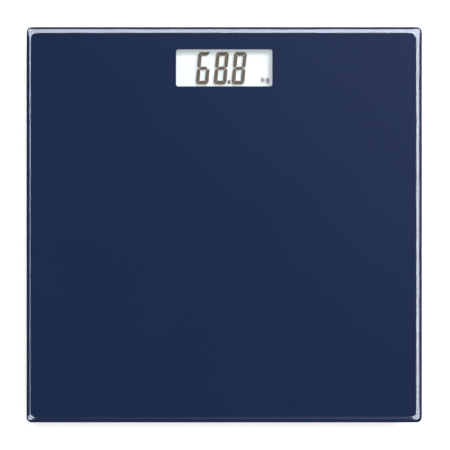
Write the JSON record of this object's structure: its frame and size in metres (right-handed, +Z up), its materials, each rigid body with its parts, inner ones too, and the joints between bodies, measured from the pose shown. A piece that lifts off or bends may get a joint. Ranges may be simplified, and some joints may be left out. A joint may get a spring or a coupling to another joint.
{
  "type": "digital body scale",
  "caption": "Square glass-top digital body scale: dark printed platform with a clear display window, electronics housing below and corner weighing feet.",
  "frame": {"origin": "on the floor, under the middle of the platform", "axes": "+Z up; +Y from the heel side to the display side; +X to the right of a person facing the display"},
  "size_m": [0.3, 0.3, 0.023],
  "materials": {
    "clear_glass": "clear tempered glass with ground edges",
    "navy_print": "dark navy ceramic print fired on the back of the glass",
    "foam_tape": "white foam mounting tape",
    "housing_plastic": "fine spark-textured ABS, dark grey",
    "foot_plastic": "fine spark-textured ABS, dark grey",
    "ring_plastic": "satin ABS, mid grey",
    "channel_plastic": "satin extruded plastic, dark grey",
    "grey_plastic": "satin ABS, mid grey",
    "black_plastic": "satin, black",
    "board_green": "green solder mask on glass-fibre board",
    "epoxy_black": "glossy potting epoxy",
    "component_tan": "small surface-mount parts",
    "solder": "bright solder",
    "screw_steel": "zinc-plated steel",
    "lcd_glass": "thin clear display glass",
    "segment_ink": "switched-on liquid-crystal segments, warm dark grey",
    "lcd_seal": "cell edge seal",
    "reflector_white": "white reflector film",
    "zebra_rubber": "layered conductive elastomer",
    "cell_steel": "nickel-plated steel can",
    "contact_metal": "nickel-plated spring strip",
    "label_film": "blank silver label film",
    "silicone_white": "white silicone over the strain gauge",
    "load_cell_steel": "stamped alloy steel, nickel-plated",
    "pad_rubber": "black non-slip rubber",
    "wire_insulation": "PVC insulation; red, black and white side by side"
  },
  "bodies": {
    "platform": {"glass_platform": "clear_glass", "printed_layer": "navy_print", "foot_tapes": "foam_tape", "housing_tape": "foam_tape", "channel_tapes": "foam_tape", "display_housing": "housing_plastic", "housing_cover": "housing_plastic", "tact_switch": "black_plastic", "circuit_board": "board_green", "chip_blob": "epoxy_black", "small_components": "component_tan", "solder_joints": "solder", "board_screws": "screw_steel", "cover_screws": "screw_steel", "lcd_frame": "black_plastic", "lcd_front_glass": "lcd_glass", "lcd_segments": "segment_ink", "lcd_seal": "lcd_seal", "lcd_rear_glass": "lcd_glass", "lcd_reflector": "reflector_white", "zebra_strips": "zebra_rubber", "coin_cell": "cell_steel", "contact_negative": "contact_metal", "contact_positive": "contact_metal", "rating_label": "label_film", "gauge_coats": "silicone_white", "retainer_rings": "ring_plastic", "foot_housing_display_left": "foot_plastic", "load_cell_display_left": "load_cell_steel", "wire_channel_display_left": "channel_plastic", "sensor_wires_display_left": "wire_insulation", "foot_housing_display_right": "foot_plastic", "load_cell_display_right": "load_cell_steel", "wire_channel_display_right": "channel_plastic", "sensor_wires_display_right": "wire_insulation", "foot_housing_heel_left": "foot_plastic", "load_cell_heel_left": "load_cell_steel", "wire_channel_heel_left": "channel_plastic", "sensor_wires_heel_left": "wire_insulation", "foot_housing_heel_right": "foot_plastic", "load_cell_heel_right": "load_cell_steel", "wire_channel_heel_right": "channel_plastic", "sensor_wires_heel_right": "wire_insulation"},
    "battery_door": {"battery_door": "housing_plastic"},
    "unit_button": {"unit_button": "grey_plastic", "switch_plunger": "black_plastic"},
    "foot_display_left": {"foot_cap_display_left": "grey_plastic", "foot_pad_display_left": "pad_rubber"},
    "foot_display_right": {"foot_cap_display_right": "grey_plastic", "foot_pad_display_right": "pad_rubber"},
    "foot_heel_left": {"foot_cap_heel_left": "grey_plastic", "foot_pad_heel_left": "pad_rubber"},
    "foot_heel_right": {"foot_cap_heel_right": "grey_plastic", "foot_pad_heel_right": "pad_rubber"}
  },
  "joints": [
    {"name": "battery_door_hinge", "type": "hinge", "parent": "platform", "child": "battery_door", "pos_m": [-0.028, 0.0859, 0.0066], "axis": [-1, 0, 0], "range_deg": [0, 90]},
    {"name": "unit_button_press", "type": "slide", "parent": "platform", "child": "unit_button", "axis": [0, 0, 1], "range_m": [0, 0.0006], "stiffness_N_per_m": 500, "springref_m": -0.0005},
    {"name": "foot_press_display_left", "type": "slide", "parent": "platform", "child": "foot_display_left", "axis": [0, 0, 1], "range_m": [0, 0.0004], "stiffness_N_per_m": 1000, "springref_m": -0.0045, "deforming": ["load_cell_display_left"]},
    {"name": "foot_press_display_right", "type": "slide", "parent": "platform", "child": "foot_display_right", "axis": [0, 0, 1], "range_m": [0, 0.0004], "stiffness_N_per_m": 1000, "springref_m": -0.0045, "deforming": ["load_cell_display_right"]},
    {"name": "foot_press_heel_left", "type": "slide", "parent": "platform", "child": "foot_heel_left", "axis": [0, 0, 1], "range_m": [0, 0.0004], "stiffness_N_per_m": 1000, "springref_m": -0.0045, "deforming": ["load_cell_heel_left"]},
    {"name": "foot_press_heel_right", "type": "slide", "parent": "platform", "child": "foot_heel_right", "axis": [0, 0, 1], "range_m": [0, 0.0004], "stiffness_N_per_m": 1000, "springref_m": -0.0045, "deforming": ["load_cell_heel_right"]}
  ]
}
